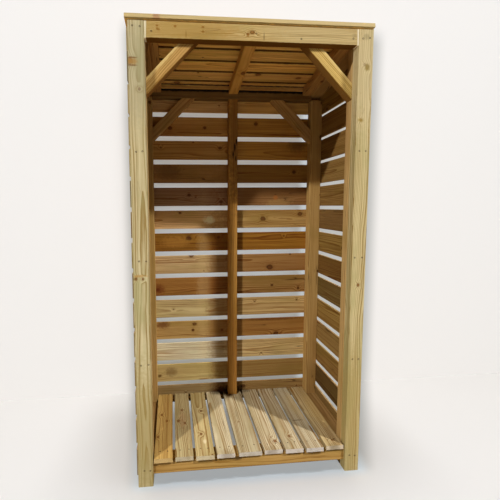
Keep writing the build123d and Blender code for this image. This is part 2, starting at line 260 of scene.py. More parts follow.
def grain_group():
    """The softwood pattern that every timber shares.

    Growth rings round a pith that wanders along the board, fibres, small and large knots,
    drying cracks, patches of stain, and the sawn ends.
    """
    tree = bpy.data.node_groups.new("softwood_grain", "ShaderNodeTree")
    numbers = ("Along", "Across", "Through", "Board", "Knot", "Knottiness", "Ring Width", "Contrast", "End")
    colours = ("Early", "Late", "Stain", "End Colour", "Knot Colour", "Rim Colour")
    add_sockets(tree, "INPUT", "Float", *numbers)
    add_sockets(tree, "INPUT", "Color", *colours)
    add_sockets(tree, "OUTPUT", "Color", "Colour")
    add_sockets(tree, "OUTPUT", "Float", "Roughness", "Height")
    make = Finish(tree)
    entry = make.node("NodeGroupInput")
    along, across, through, board, hand_knot, knottiness, ring_width, contrast, end = (
        make.value(entry, name) for name in numbers
    )
    early, late, stain, end_colour, knot_colour, rim_colour = (entry.outputs[name] for name in colours)

    white_noise = ("TexWhiteNoise", {"noise_dimensions": "1D"})
    chance = make.node(*white_noise, {"W": board * 7.31 + 0.37})
    first, second, third = make.parts(chance.outputs["Color"], "Color")

    def stretched(lengthwise, crosswise, shift, detail, roughness=0.5):
        """Noise drawn out along the board."""
        place = make.point(along * lengthwise, across * crosswise, through * crosswise + shift)
        return make.noise(place, 1.0, detail, roughness)

    # Knots of this board, one chance in each cell of a grid laid along it
    cell_along, cell_across = 0.21, 0.085
    cell = make.point(along / cell_along + board * 3.7, across / cell_across + board * 5.3, 0.0)
    scattered = make.node(
        "TexVoronoi",
        {"voronoi_dimensions": "2D", "feature": "F1"},
        {"Vector": cell, "Scale": 1.0, "Randomness": 0.85},
    )
    apart = make.vector("SUBTRACT", cell, scattered.outputs["Position"])
    apart_along, apart_across, _ = make.parts(apart)
    size_luck, knot_luck, _ = make.parts(scattered.outputs["Color"], "Color")
    radius = 0.0025 + size_luck**3.0 * 0.0085
    wobble = make.noise(make.point(along * 60.0, across * 60.0, board), 1.0, 1.0)
    near = make.math("SQRT", (apart_along * cell_along) ** 2.0 * 0.6 + (apart_across * cell_across) ** 2.0)
    absent = make.math("GREATER_THAN", knot_luck, knottiness) * NO_KNOT
    knot = near / radius + (wobble - 0.5) * 0.9 + absent
    knot = make.math("MINIMUM", knot, hand_knot + (wobble - 0.5) * 0.5)
    bend = make.math("EXPONENT", knot * knot * -0.14)

    # Rings round the pith
    drift = make.noise(make.point(along * 1.7, board * 3.1, 0.0), 1.0, 2.0)
    sway = make.noise(make.point(along * 0.9, board * 4.3, 5.0), 1.0, 1.0)
    pith_across = (first - 0.5) * 0.10 + (drift - 0.5) * 0.05
    depth_side = make.math("SIGN", third - 0.5)
    pith_through = depth_side * (second * 0.05 + 0.012) + (sway - 0.5) * 0.035
    coarse = stretched(5.0, 26.0, board, 3.0)
    from_pith = make.math("SQRT", (across - pith_across) ** 2.0 + (through - pith_through) ** 2.0)
    count = (from_pith + (coarse - 0.5) * 0.006 + bend * 0.0085) / ring_width
    share = make.math("FRACT", count)
    strength = make.value(make.node(*white_noise, {"W": count - share + board}))
    ring = share**2.6 * (0.45 + strength * 0.55) * make.rise(share, 1.0, 0.93)

    # Fibres and streaks
    fibre = stretched(9.0, 420.0, board * 9.0, 3.0, 0.6)
    streak = stretched(1.6, 75.0, board * 5.0, 3.0, 0.55)
    patch = stretched(3.2, 11.0, board * 2.0, 3.0, 0.6)
    weather = make.noise(make.point(along * 1.1, across * 7.0, board * 6.0), 1.0, 2.0, 0.5)

    flat = 1.0 - end
    lateness = (ring * 0.95 + (streak - 0.46) * 1.05 + (fibre - 0.5) * 0.45) * contrast
    colour = make.mix(early, late, make.math("MAXIMUM", lateness, 0.0))
    colour = make.mix(colour, stain, make.rise(patch, 0.44, 0.74) * 0.75 * flat)
    colour = make.mix(colour, late, make.rise(weather, 0.50, 0.72) * 0.42 * flat)

    # The sawn end
    ring_end = make.mix(end_colour, late, ring * 0.55)
    blotch = stretched(30.0, 42.0, board, 3.0)
    ring_end = make.mix(ring_end, stain, make.rise(blotch, 0.45, 0.75) * 0.35)
    colour = make.mix(colour, ring_end, end)

    # Knots over the grain
    halo = make.rise(knot, 2.6, 0.9) * flat
    heart = make.rise(knot, 1.08, 0.80) * flat
    rim = make.rise(knot, 0.62, 1.0) * make.rise(knot, 1.35, 1.02) * flat
    eye = make.math("SINE", knot * 17.0) * 0.5 + 0.5
    heart_colour = make.mix(knot_colour, rim_colour, (eye * 0.6 + third * 0.4) * 0.55)
    colour = make.mix(colour, knot_colour, halo * 0.35)
    colour = make.mix(colour, heart_colour, heart * 0.85)
    colour = make.mix(colour, rim_colour, rim * 0.72)

    # Drying cracks along the fibres
    check = stretched(2.2, 46.0, board * 3.0, 1.0)
    region = make.noise(make.point(along * 4.0, across * 9.0, board * 8.0), 1.0, 1.0)
    crack = make.rise(make.math("ABSOLUTE", check - 0.5), 0.011, 0.003)
    crack = crack * make.rise(region, 0.57, 0.66) * flat
    colour = make.mix(colour, rim_colour, crack * make.math("MINIMUM", knottiness * 1.8, 0.7))

    roughness = 0.66 + (fibre - 0.5) * 0.22 - ring * 0.08 - heart * 0.14 + end * 0.14
    height = fibre * 0.55 + ring * 0.35 * flat - crack * 1.6 + heart * 0.35 - rim * 0.8 + blotch * end * 0.8
    make.node("NodeGroupOutput", None, {0: colour, 1: roughness, 2: height})
    return tree


class Board:
    """Where a timber lies: its middle, and unit vectors along, across and through it."""

    def __init__(self, node, along, across):
        self.node = node
        self.along = along.normalized()
        self.across = across.normalized()
        self.through = self.along.cross(self.across)
        self.middle = Vector()
        for axis in (self.along, self.across, self.through):
            reach = [corner.co.dot(axis) for corner in frame["nodes"][node].data.vertices]
            self.middle += axis * (min(reach) + max(reach)) / 2

    def of(self, place):
        """A place in the frame, in millimetres, as lengths along and across the board in metres.

        A place of two numbers leaves out the axis that the board's face looks along.
        """
        place = list(place)
        if len(place) == 2:
            place.insert(max(range(3), key=lambda axis: abs(self.through[axis])), 0.0)
        arm = Vector(place) / 1000 - self.middle
        return arm.dot(self.along), arm.dot(self.across)


def look(kind, **changes):
    """The settings for one kind of timber, with any changes for a single board.

    tint multiplies the colours of the wood; where a timber lies in shade its tint is partly painted light
    that brightens it.
    top is the tint of faces that look up, where it differs: on the roof it keeps the painted light off the
    tops, and on the side slats it is a painted highlight on the upper edges. gloss is how much the surface
    shines.
    """
    wood = bpy.context.scene.log_store_timber
    chosen = {part: getattr(wood, f"{kind}_{part}") for part in ("early", "late", "stain", "knot")}
    chosen.update(end=wood.sawn_end, tint=(1.0, 1.0, 1.0), top=None)
    chosen.update(knottiness=0.4, contrast=1.0, gloss=0.18)
    chosen.update(changes)
    return chosen


def stacked(make, stack, spot, along, number):
    """The place across, the number and the tint of each board of a stack, from the height."""
    start, pitch, lowest, tapered, tints = stack
    height = make.parts(spot)[2]
    level = make.math("MAXIMUM", make.math("FLOOR", (height - start) / pitch), float(lowest))
    if tapered:
        level = level + make.math("GREATER_THAN", height, tapered)
    # The ramps hold the tints divided, so that no stop passes 1, and the scale brings them back
    scale = 8.0
    halves = []
    for half in (0, 1):
        stops = [
            (max(place / len(tints) - 0.0001, 0.0), (*(part / scale for part in tone[half]), 1.0))
            for place, tone in enumerate(tints)
        ]
        place = (level - lowest + 0.5) / len(tints)
        halves.append(make.node("ValToRGB", {"stops": stops}, {0: place}))
    mixed = make.mix(*halves, make.rise(along, -0.09, 0.09))
    tint = make.node("VectorMath", {"operation": "SCALE"}, {0: mixed, "Scale": scale})
    return height - start - (level + 0.5) * pitch, level * 1.37 + number, tint


def timber(board, kind, knots=(), marks=(), stack=None):
    """Gives a CAD node its timber surface.

    A knot is (place in the frame in millimetres, radius in millimetres). A mark is (place, half
    length along, half width across, colour, strength) and stands for a stain, a split, mould, or
    a touch of light or shade. stack is (start, pitch, lowest level, tapered height, tints) for a
    node whose boards repeat up Z, in metres, with a tint for each half of each board.
    """
    wood = bpy.context.scene.log_store_timber
    material, make = new_material(f"timber_{board.node}")
    spot = make.node("TexCoord").outputs["Object"]
    arm = make.vector("SUBTRACT", spot, tuple(board.middle))
    along, across, through = (
        make.value(make.vector("DOT_PRODUCT", arm, tuple(axis)), "Value")
        for axis in (board.along, board.across, board.through)
    )
    number = random.Random(board.node).uniform(2, 60)
    tint = (*kind["tint"], 1.0)
    grain_across = across
    if stack:
        grain_across, number, tint = stacked(make, stack, spot, along, number)
    hand = NO_KNOT
    for place, radius in knots:
        where, offset = board.of(place)
        gap = make.math("SQRT", (along - where) ** 2.0 * 0.7 + (across - offset) ** 2.0)
        gap = gap / (radius / 1000)
        hand = gap if hand == NO_KNOT else make.math("MINIMUM", hand, gap)
    normal = make.node("NewGeometry").outputs["Normal"]
    if kind["top"]:
        tint = make.mix(tint, (*kind["top"], 1.0), make.rise(make.parts(normal)[2], 0.3, 0.7))
    facing = make.value(make.vector("DOT_PRODUCT", normal, tuple(board.along)), "Value")
    drawn = {name.title(): kind[name] for name in ("early", "late", "stain", "knottiness", "contrast")}
    drawn.update({"Along": along, "Across": grain_across, "Through": through, "Board": number})
    drawn.update({"Knot": hand, "Ring Width": wood.ring_width})
    drawn["End"] = make.rise(make.math("ABSOLUTE", facing), 0.75, 0.92)
    drawn["End Colour"] = kind["end"]
    drawn["Knot Colour"] = kind["knot"]
    drawn["Rim Colour"] = (*(0.3 * part for part in kind["knot"][:3]), 1.0)
    grain = make.node("Group", {"node_tree": bpy.data.node_groups["softwood_grain"]}, drawn)
    colour = make.mix(grain.outputs["Colour"], tint, 1.0, "MULTIPLY")
    if marks:
        ragged = (make.noise(spot, 70.0, 3.0, 0.6) - 0.5) * 1.1
    for place, length, width, tone, strength in marks:
        where, offset = board.of(place)
        away = ((along - where) / (length / 1000)) ** 2.0 + ((across - offset) / (width / 1000)) ** 2.0
        away = make.math("SQRT", away)
        colour = make.mix(colour, shade(*tone), make.rise(away + ragged, 1.15, 0.35) * strength)
    sawn = {"Strength": wood.relief, "Distance": 0.001, "Height": grain.outputs["Height"]}
    surface = make.node(
        "BsdfPrincipled",
        None,
        {
            "Base Color": colour,
            "Roughness": grain.outputs["Roughness"],
            "Normal": make.node("Bump", None, sawn),
            "Specular IOR Level": kind["gloss"],
        },
    )
    make.node("OutputMaterial", None, {0: surface})
    target = frame["nodes"][board.node]
    target.data.materials.clear()
    target.data.materials.append(material)


def fixing_tree():
    """Geometry nodes that set a low metal head on every point, square to the timber."""
    tree = bpy.data.node_groups.new("fixing_heads", "GeometryNodeTree")
    tree.is_modifier = True
    add_sockets(tree, "INPUT", "Geometry", "Points")
    add_sockets(tree, "INPUT", "Float", "Head Radius", "Head Height", "Recess Length", "Recess Width")
    add_sockets(tree, "INPUT", "Int", "Seed")
    add_sockets(tree, "INPUT", "Material", "Metal")
    add_sockets(tree, "OUTPUT", "Geometry", "Heads")
    make = Finish(tree)
    entry = make.node("NodeGroupInput")
    radius, height, length, width = (make.value(entry, number) for number in range(1, 5))
    head = make.node(
        "GeometryNodeMeshCone",
        None,
        {"Vertices": 14, "Radius Top": radius * 0.86, "Radius Bottom": radius, "Depth": height},
    )
    arms = make.node("GeometryNodeJoinGeometry")
    lift = make.point(0.0, 0.0, height)
    for size in ((length, width), (width, length)):
        bar = make.node("GeometryNodeMeshCube", None, {"Size": make.point(*size, height)})
        moved = make.node("GeometryNodeTransform", None, {0: bar, "Translation": lift})
        tree.links.new(moved.outputs[0], arms.inputs[0])
    boolean = "GeometryNodeMeshBoolean"
    cross = make.node(boolean, {"operation": "UNION", "solver": "EXACT"}, {"Mesh 2": arms})
    cut = make.node(
        boolean, {"operation": "DIFFERENCE", "solver": "EXACT"}, {"Mesh 1": head, "Mesh 2": cross}
    )
    shortest = 0.0001
    recessed = make.node("FunctionNodeCompare", {"operation": "GREATER_THAN"}, {0: length, 1: shortest})
    either = {0: recessed, "False": head, "True": cut}
    chosen = make.node("GeometryNodeSwitch", {"input_type": "GEOMETRY"}, either)
    facing = make.node("GeometryNodeInputNamedAttribute", {"data_type": "FLOAT_VECTOR"}, {"Name": "facing"})
    square = make.node("FunctionNodeAlignRotationToVector", {"axis": "Z"}, {"Vector": facing})
    limits = {"Min": 0.0, "Max": 1.5, "Seed": entry.outputs["Seed"]}
    turn = make.node("FunctionNodeRandomValue", {"data_type": "FLOAT"}, limits)
    spin = {"Axis": (0.0, 0.0, 1.0), "Angle": turn.outputs["Value"]}
    about = make.node("FunctionNodeAxisAngleToRotation", None, spin)
    both = {"Rotation": square, "Rotate By": about}
    turned = make.node("FunctionNodeRotateRotation", {"rotation_space": "LOCAL"}, both)
    heads = {"Points": entry.outputs["Points"], "Instance": chosen, "Rotation": turned}
    placed = make.node("GeometryNodeInstanceOnPoints", None, heads)
    real = make.node("GeometryNodeRealizeInstances", None, {0: placed})
    coat = {"Geometry": real, "Material": entry.outputs["Metal"]}
    make.node("NodeGroupOutput", None, {0: make.node("GeometryNodeSetMaterial", None, coat)})
    return tree


def metal_finish():
    """Dull plating with patches of dirt and a little rust."""
    if "fixing_metal" in bpy.data.materials:
        return bpy.data.materials["fixing_metal"]
    material, make = new_material("fixing_metal")
    spot = make.node("TexCoord").outputs["Object"]
    fine = make.noise(spot, 900.0, 3.0, 0.6)
    broad = make.noise(spot, 55.0, 2.0, 0.5)
    plated = bpy.context.scene.log_store_fixings.metal
    colour = make.mix(plated, shade(70, 56, 38), make.rise(fine + broad, 0.92, 1.25))
    colour = make.mix(colour, shade(92, 52, 26), make.rise(broad, 0.56, 0.72) * 0.6)
    bump = make.node("Bump", None, {"Strength": 0.3, "Distance": 0.0001, "Height": fine})
    surface = make.node(
        "BsdfPrincipled",
        None,
        {
            "Base Color": colour,
            "Metallic": make.rise(broad, 0.75, 0.45) * 0.7,
            "Roughness": fine * 0.3 + 0.4,
            "Normal": bump,
        },
    )
    make.node("OutputMaterial", None, {0: surface})
    return material


def touch(node, start, direction):
    """Where in metres a line from start first meets a CAD node, and the way that face looks."""
    mesh = frame["nodes"][node].data
    tree = BVHTree.FromPolygons([v.co for v in mesh.vertices], [p.vertices for p in mesh.polygons])
    place, normal, _, _ = tree.ray_cast(Vector(start), direction)
    if place is None:
        raise RuntimeError(f"no timber of {node} under the fixing at {start}")
    if normal.dot(direction) > 0:
        normal = -normal
    return place, normal


def set_fixings(name, places, diameter, recess=False):
    """One piece with a head at each (place, facing), ridden on the store's body.

    recess is whether a cross is cut into each head.
    """
    fixings = bpy.context.scene.log_store_fixings
    sunk = 0.0006
    points = bpy.data.meshes.new(f"{name}_points")
    points.from_pydata([place - normal * sunk for place, normal in places], [], [])
    facing = points.attributes.new("facing", "FLOAT_VECTOR", "POINT")
    facing.data.foreach_set("vector", [part for _, normal in places for part in normal])
    carrier = new_object(f"{name}_points", points)
    tree = bpy.data.node_groups.get("fixing_heads") or fixing_tree()
    modifier = carrier.modifiers.new("heads", "NODES")
    modifier.node_group = tree
    sockets = {item.name: item.identifier for item in tree.interface.items_tree if item.in_out == "INPUT"}
    for label, value in (
        ("Head Radius", diameter / 2),
        ("Head Height", sunk + fixings.rise),
        ("Recess Length", diameter * 0.6 if recess else 0.0),
        ("Recess Width", diameter * 0.17 if recess else 0.0),
        ("Seed", fixings.turn_seed),
        ("Metal", metal_finish()),
    ):
        modifier[sockets[label]] = value
    bpy.context.view_layer.update()
    evaluated = carrier.evaluated_get(bpy.context.evaluated_depsgraph_get())
    mesh = bpy.data.meshes.new_from_object(evaluated)
    carrier.modifiers.remove(modifier)
    bpy.data.objects.remove(carrier)
    mesh.name = name
    if not mesh.polygons:
        raise RuntimeError(f"{name} came out empty")
    piece = new_object(name, mesh)
    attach(piece, "root")


class LOGSTORE_OT_grain(bpy.types.Operator):
    """Builds the softwood pattern that every timber shares"""

    bl_idname = "log_store.grain"
    bl_label = "Softwood Grain"

    def execute(self, context):
        grain_group()
        return {"FINISHED"}


class LOGSTORE_OT_front_frame(bpy.types.Operator):
    """Surfaces the front posts, the top rail and its packers, the front braces and the front bearer"""

    bl_idname = "log_store.front_frame"
    bl_label = "Front Frame"

    def execute(self, context):
        timber(
            Board("front_post_left", UP, RIGHTWARD),
            look("front", knottiness=0.1, tint=(0.98, 1.03, 1.14), contrast=2.0),
            knots=(
                ((-459, 1657), 9.0), ((-402, 1731), 3.5), ((-426, 1560), 4.0), ((-455, 857), 4.0),
                ((-429, 856), 3.5),
            ),
            marks=(
                ((-435, 1640), 260, 80, (172, 166, 140), 0.45), ((-435, 250), 330, 80, (168, 146, 80), 0.4),
                ((-452, 1657), 15, 26, (176, 130, 56), 0.7), ((-449, 1670), 4, 20, (122, 84, 38), 0.75),
                ((-449, 1643), 4, 22, (122, 84, 38), 0.75), ((-440, 868), 6, 34, (190, 140, 60), 0.6),
            ),
        )
        timber(
            Board("front_post_right", UP, RIGHTWARD),
            look("front", knottiness=0.1, tint=(0.98, 0.99, 0.98), contrast=1.9),
            knots=(((431, 1670), 4.0), ((442, 1663), 6.0), ((424, 1462), 3.5), ((436, 808), 5.0)),
            marks=(
                ((435, 250), 330, 80, (180, 154, 88), 0.4), ((435, 1640), 260, 80, (222, 206, 166), 0.5),
                ((436, 1771), 14, 16, (122, 110, 70), 0.35), ((442, 1660), 16, 13, (150, 128, 52), 0.75),
                ((424, 1462), 9, 14, (168, 140, 60), 0.7),
            ),
        )
        timber(
            Board("front_top_rail", RIGHTWARD, UP),
            look("front", tint=(0.97, 0.89, 0.76), contrast=2.0, knottiness=0.2, gloss=0.05),
            knots=(
                ((-293, 1783), 3.2), ((-192, 1784), 3.2), ((-192, 1768), 3.0), ((-25, 1765), 3.8),
                ((-358, 1783), 2.6), ((-358, 1771), 2.6),
            ),
            marks=(
                ((-254, 1757), 2.5, 18, (90, 62, 30), 0.7), ((36, 1757), 2.5, 18, (90, 62, 30), 0.7),
                ((388, 1774), 12, 10, (110, 92, 56), 0.4), ((-260, 1775), 260, 50, (178, 134, 62), 0.45),
                ((260, 1775), 240, 60, (200, 184, 142), 0.45),
                # A painted shade over the rail's underside and the foot of its front face
                ((0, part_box("front_top_rail")[0].z * 1000), 1500, 1.6, (108, 72, 28), 1.0),
            ),
        )
        timber(
            Board("front_bearer", RIGHTWARD, UP),
            look("front", tint=(0.80, 0.59, 0.34), contrast=2.1, knottiness=0.3),
            marks=(((-55, 84), 30, 12, (58, 38, 22), 0.75),),
        )
        for side, sign in SIDES:
            packer = Board(f"rail_packer_{side}", UP, RIGHTWARD)
            timber(packer, look("front", tint=(1.35, 1.5, 2.1), knottiness=0.0))
            lean = Vector((-sign * math.cos(BRACE_ANGLE), 0, math.sin(BRACE_ANGLE)))
            width = Vector((sign * math.sin(BRACE_ANGLE), 0, math.cos(BRACE_ANGLE)))
            board = Board(f"front_brace_{side}", lean, width)
            upper = (board.middle + board.across * 0.020) * 1000
            underside_shade = (board.middle - board.across * 0.024) * 1000
            tint = (0.89, 0.67, 0.44) if side == "left" else (1.07, 0.93, 0.60)
            kind = look("front", tint=tint, knottiness=0.1, contrast=1.9, gloss=0.06)
            # The mark along the lower edge is painted shade on the brace's underside and lower edge
            marks = ((upper, 900, 9, (232, 206, 140), 0.75), (underside_shade, 900, 5, (118, 76, 28), 0.9))
            timber(board, kind, marks=marks)
        return {"FINISHED"}


class LOGSTORE_OT_inner_frame(bpy.types.Operator):
    """Surfaces the uprights, rafters, side plates, rear braces, back rail and hidden bearers"""

    bl_idname = "log_store.inner_frame"
    bl_label = "Inner Frame"

    def execute(self, context):
        for side, sign in SIDES:
            for name, along, across, changes in (
                ("front_upright", UP, BACKWARD, {"knottiness": 0.3, "tint": (1.17, 1.30, 1.45)}),
                ("rear_upright", UP, RIGHTWARD, {"knottiness": 0.3, "tint": (1.04, 1.09, 1.04)}),
                ("side_plate", ROOF_FALL, RIGHTWARD, {}),
                ("side_bearer", BACKWARD, RIGHTWARD, {"tint": (0.6, 0.58, 0.55)}),
                ("rear_brace", Vector((-sign, 0, 1)), Vector((sign, 0, 1)), {}),
                ("rafter", ROOF_FALL, RIGHTWARD, {"tint": (1.1, 1.0, 0.9)}),
            ):
                timber(Board(f"{name}_{side}", along, across), look("inner", **changes))
        centre_rafter = Board("rafter_centre", ROOF_FALL, RIGHTWARD)
        timber(centre_rafter, look("inner", tint=(1.4, 1.25, 0.85)), knots=(((10, 3, 1720), 8),))
        timber(
            Board("centre_rear_post", UP, RIGHTWARD),
            look("inner", knottiness=0.3, tint=(1.2, 1.03, 0.65)),
            marks=(
                ((15, 1500), 420, 60, (84, 50, 18), 0.6), ((17, 1460), 24, 5, (34, 20, 10), 0.95),
                ((8, 1428), 28, 6, (34, 20, 10), 0.95), ((0, 1394), 22, 5, (34, 20, 10), 0.9),
                ((13, 1374), 16, 4, (34, 20, 10), 0.8),
            ),
        )
        # The black line along the top of the rail is a painted shadow in the gap under the roof boards
        timber(
            Board("back_top_rail", RIGHTWARD, UP),
            look("inner", tint=(0.44, 0.43, 0.40)),
            marks=(((0, 1706), 3000, 9, (8, 5, 3), 1.0),),
        )
        timber(Board("rear_bearer", RIGHTWARD, UP), look("inner"))
        return {"FINISHED"}


class LOGSTORE_OT_roof(bpy.types.Operator):
    """Surfaces the lapped roof boards"""

    bl_idname = "log_store.roof"
    bl_label = "Roof Boards"

    def execute(self, context):
        # The tints brighten the undersides, which lie in shade, as painted light; the tops keep a plainer
        # tint
        tints = (
            (1.98, 2.07, 1.79), (2.16, 2.20, 1.75), (1.94, 2.03, 1.73),
            (2.13, 2.17, 1.68), (1.98, 2.07, 1.87), (2.06, 2.10, 1.75),
        )
        for number, tint in enumerate(tints, 1):
            board = Board(f"roof_board_{number}", RIGHTWARD, BACKWARD)
            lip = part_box(board.node)[0].y * 1000
            # Under each board but the first, a dark line along the front edge is painted shade in the lap
            marks = [((0, lip), 1200, 7, (30, 18, 8), 0.85)]
            if number == 1:
                marks = [((0, lip), 1200, 14, (160, 146, 106), 0.9)]
                marks.append(((-360, lip), 15, 12, (140, 90, 66), 0.6))
            # On the last board a black line where it meets the back rail is a painted shadow
            if number == 6:
                marks.append(((0, 178), 3000, 8, (8, 5, 3), 1.0))
            top = tuple(0.36 * part + 0.3 for part in tint)
            timber(board, look("inner", tint=tint, top=top, contrast=1.6, knottiness=0.5), marks=marks)
        return {"FINISHED"}


class LOGSTORE_OT_floor(bpy.types.Operator):
    """Surfaces the floor boards"""

    bl_idname = "log_store.floor"
    bl_label = "Floor Boards"

    def execute(self, context):
        knots = {
            1: (((-378, 43), 5), ((-353, -3), 4.5), ((-391, -104), 4.5)),
            2: (((-279, 71), 5), ((-268, -25), 5)),
            3: (((-185, 55), 5), ((-199, -103), 5)),
            6: (((117, -175), 6),),
            7: (((189, -152), 5),),
        }
        # Besides stains, splits and dirt, the dark marks at the back ends of boards 4, 5 and 6 are a
        # painted shadow round the centre post's foot, and the warm pale patches on boards 8 and 9 are
        # painted light on the shaded boards at the back right
        marks = {
            2: (((-279, 0), 80, 18, (156, 108, 76), 0.3),),
            3: (((-186, -150), 14, 10, (226, 212, 178), 0.6),),
            8: (((268, -55), 3, 32, (66, 44, 26), 0.85), ((310, 60), 130, 60, (210, 180, 112), 0.3)),
            9: (((360, -222), 30, 30, (108, 92, 62), 0.5), ((400, 20), 170, 70, (204, 172, 104), 0.4)),
            4: (((-100, -222), 30, 30, (120, 100, 66), 0.45), ((-90, 206), 30, 40, (40, 24, 12), 0.6)),
            5: (
                ((-12, 20), 60, 9, (128, 114, 84), 0.5), ((8, -60), 110, 6, (140, 122, 88), 0.5),
                ((-25, 206), 40, 60, (26, 15, 8), 0.85),
            ),
            6: (((90, -222), 30, 30, (120, 100, 66), 0.4), ((70, 206), 22, 40, (40, 24, 12), 0.5)),
            7: (((190, -60), 90, 8, (140, 112, 76), 0.4),),
        }
        tints = (
            (0.74, 0.58, 0.28), (0.64, 0.62, 0.48), (0.77, 0.74, 0.55),
            (0.85, 0.88, 0.88), (0.71, 0.73, 0.70), (0.81, 0.83, 0.83),
            (0.81, 0.83, 0.85), (0.74, 0.77, 0.80), (0.80, 0.76, 0.63),
        )
        for number, tint in enumerate(tints, 1):
            timber(
                Board(f"floor_board_{number}", BACKWARD, RIGHTWARD),
                look("deck", tint=tint, contrast=1.8, knottiness=0.35, end=shade(242, 232, 226)),
                knots=knots.get(number, ()),
                marks=marks.get(number, ()),
            )
        return {"FINISHED"}


class LOGSTORE_OT_back_slats(bpy.types.Operator):
    """Surfaces the slats of the back"""

    bl_idname = "log_store.back_slats"
    bl_label = "Back Slats"

    def execute(self, context):
        spots = (
            (-319, 1530, 7), (127, 1556, 7), (-62, 1432, 6), (335, 1310, 7), (-225, 1191, 6),
            (-57, 1154, 6), (-273, 1098, 5), (-394, 692, 7), (-211, 466, 5), (-53, 460, 5), (223, 701, 5),
            (370, 680, 5),
        )
        # Besides each board's own tone, the tints carry painted light and shade for each level and half:
        # the levels in shade are brightened
        tints = (
            ((0.73, 0.86, 1.10), (0.80, 0.82, 0.80)),
            ((1.50, 2.05, 2.50), (0.82, 0.84, 0.74)),
            ((1.90, 3.00, 6.00), (1.44, 1.75, 2.20)),
            ((1.15, 1.24, 1.18), (0.80, 0.65, 0.45)),
            ((1.35, 1.78, 2.40), (1.30, 1.50, 1.75)),
            ((0.80, 0.63, 0.40), (0.83, 0.78, 0.68)),
            ((1.34, 1.60, 2.22), (0.90, 0.82, 0.75)),
            ((0.62, 0.47, 0.16), (0.77, 0.58, 0.20)),
            ((1.78, 1.95, 2.50), (1.06, 1.12, 1.05)),
            ((0.88, 0.90, 1.45), (0.60, 0.50, 0.48)),
            ((0.98, 0.88, 0.86), (0.67, 0.57, 0.34)),
            ((1.24, 1.18, 0.98), (1.21, 1.08, 0.62)),
            ((1.20, 1.06, 0.84), (1.02, 0.89, 0.50)),
            ((1.55, 1.62, 1.90), (1.65, 1.70, 1.50)),
        )
        timber(
            Board("back_slats", RIGHTWARD, UP),
            look("inner", contrast=1.5, knottiness=0.45),
            knots=[((x, z), radius) for x, z, radius in spots],
            marks=(
                # Among the stains and knots, four marks are painted light and shade: the dark foot by the
                # centre post is a painted shadow, the pale band left of the post is painted light, the
                # brown band beside the post is a painted shadow, and the pale spot at 1060 mm is a painted
                # pool of light
                ((-20, 95), 120, 64, (14, 8, 4), 0.9), ((-150, 640), 48, 600, (232, 202, 146), 0.2),
                ((-74, 600), 72, 760, (124, 66, 20), 0.5), ((-121, 1060), 34, 24, (255, 246, 208), 0.9),
                ((-394, 695), 45, 34, (110, 48, 18), 0.65),
                ((-372, 500), 46, 24, (104, 48, 16), 0.7), ((-211, 466), 10, 9, (96, 46, 16), 0.8),
                ((230, 512), 200, 9, (96, 42, 16), 0.6), ((250, 1146), 90, 26, (196, 156, 98), 0.4),
                ((236, 1176), 16, 15, (176, 106, 50), 0.75), ((236, 1190), 8, 3, (44, 26, 12), 0.6),
                ((-300, 948), 90, 36, (196, 140, 62), 0.4), ((350, 1448), 60, 40, (44, 28, 12), 0.5),
                ((-330, 1310), 90, 50, (40, 24, 10), 0.4), ((-330, 236), 40, 30, (104, 70, 34), 0.5),
                ((382, 349), 34, 2.5, (44, 30, 18), 0.9),
            ),
            stack=(0.0531, 0.1188, 0, None, tints),
        )
        return {"FINISHED"}


class LOGSTORE_OT_side_slats(bpy.types.Operator):
    """Surfaces the slats of the two sides"""

    bl_idname = "log_store.side_slats"
    bl_label = "Side Slats"

    def execute(self, context):
        tones = (
            (0.58, 0.59, 0.52), (0.31, 0.33, 0.27), (0.65, 0.65, 0.54), (0.67, 0.71, 0.64),
            (0.70, 0.74, 0.57), (0.39, 0.42, 0.35), (0.42, 0.37, 0.25), (0.61, 0.63, 0.45),
            (0.47, 0.45, 0.41), (0.58, 0.57, 0.46), (0.62, 0.63, 0.53), (0.53, 0.50, 0.38),
            (0.65, 0.62, 0.47), (0.68, 0.66, 0.45), (0.57, 0.58, 0.56),
        )
        for side, _ in SIDES:
            tints = [(tone, tone) for tone in (tones if side == "right" else tones[::-1])]
            knots = (((125, 38), 5), ((-12, 54), 6)) if side == "right" else ()
            board = Board(f"side_slats_{side}", BACKWARD, UP)
            # top paints a highlight on the slats' upper edges
            kind = look("inner", contrast=1.6, top=(1.25, 1.45, 1.8))
            timber(board, kind, knots=knots, stack=(0.1554, 0.1203, -1, 1.7085, tints))
        return {"FINISHED"}


class LOGSTORE_OT_screws(bpy.types.Operator):
    """Sets the screws of the front posts and the top rail"""

    bl_idname = "log_store.screws"
    bl_label = "Screws"

    def execute(self, context):
        rows = (
            ("front_post_left", ((-447, 1780), (-420, 1778), (-443, 1335), (-420, 1337), (-442, 925))),
            ("front_post_left", ((-415, 924), (-444, 512), (-415, 514), (-440, 70), (-416, 68))),
            ("front_post_right", ((422, 1765), (449, 1768), (422, 1344), (448, 1344), (418, 921))),
            ("front_post_right", ((449, 921), (423, 495), (449, 494), (424, 70), (448, 67))),
            ("front_top_rail", ((-379, 1763), (383, 1763), (179, 1755), (7, 1768))),
        )
        head = context.scene.log_store_fixings.screw_head
        places = []
        for node, spots in rows:
            places += [touch(node, (x / 1000, -1, z / 1000), BACKWARD) for x, z in spots]
        set_fixings("front_screws", places, head, recess=True)
        return {"FINISHED"}


